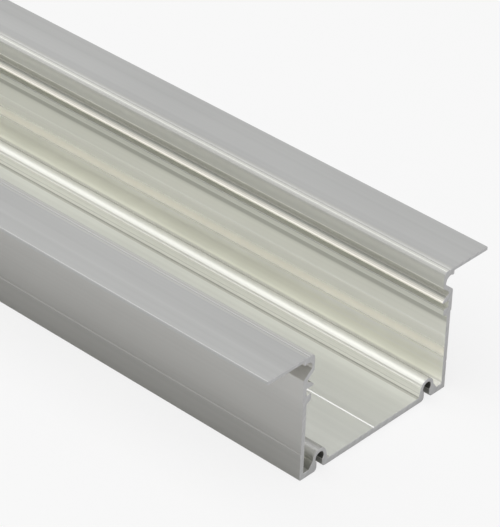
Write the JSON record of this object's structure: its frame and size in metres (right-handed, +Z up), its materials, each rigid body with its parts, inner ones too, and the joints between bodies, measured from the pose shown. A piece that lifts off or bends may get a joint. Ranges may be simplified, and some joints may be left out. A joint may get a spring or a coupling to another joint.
{
  "type": "aluminium led profile",
  "caption": "Straight aluminium channel profile with outward mounting flanges, snap grooves for a diffuser and screw ports for end caps.",
  "frame": {"origin": "middle of the base, at the middle of the bar's length", "axes": "+X along the length, +Y across the channel, +Z up, out of the open side"},
  "size_m": [1, 0.0754, 0.0343],
  "materials": {
    "anodised_aluminium": "satin silver anodised, with fine die lines along the length and bare saw-cut ends"
  },
  "bodies": {
    "root": {"profile": "anodised_aluminium"}
  },
  "joints": []
}
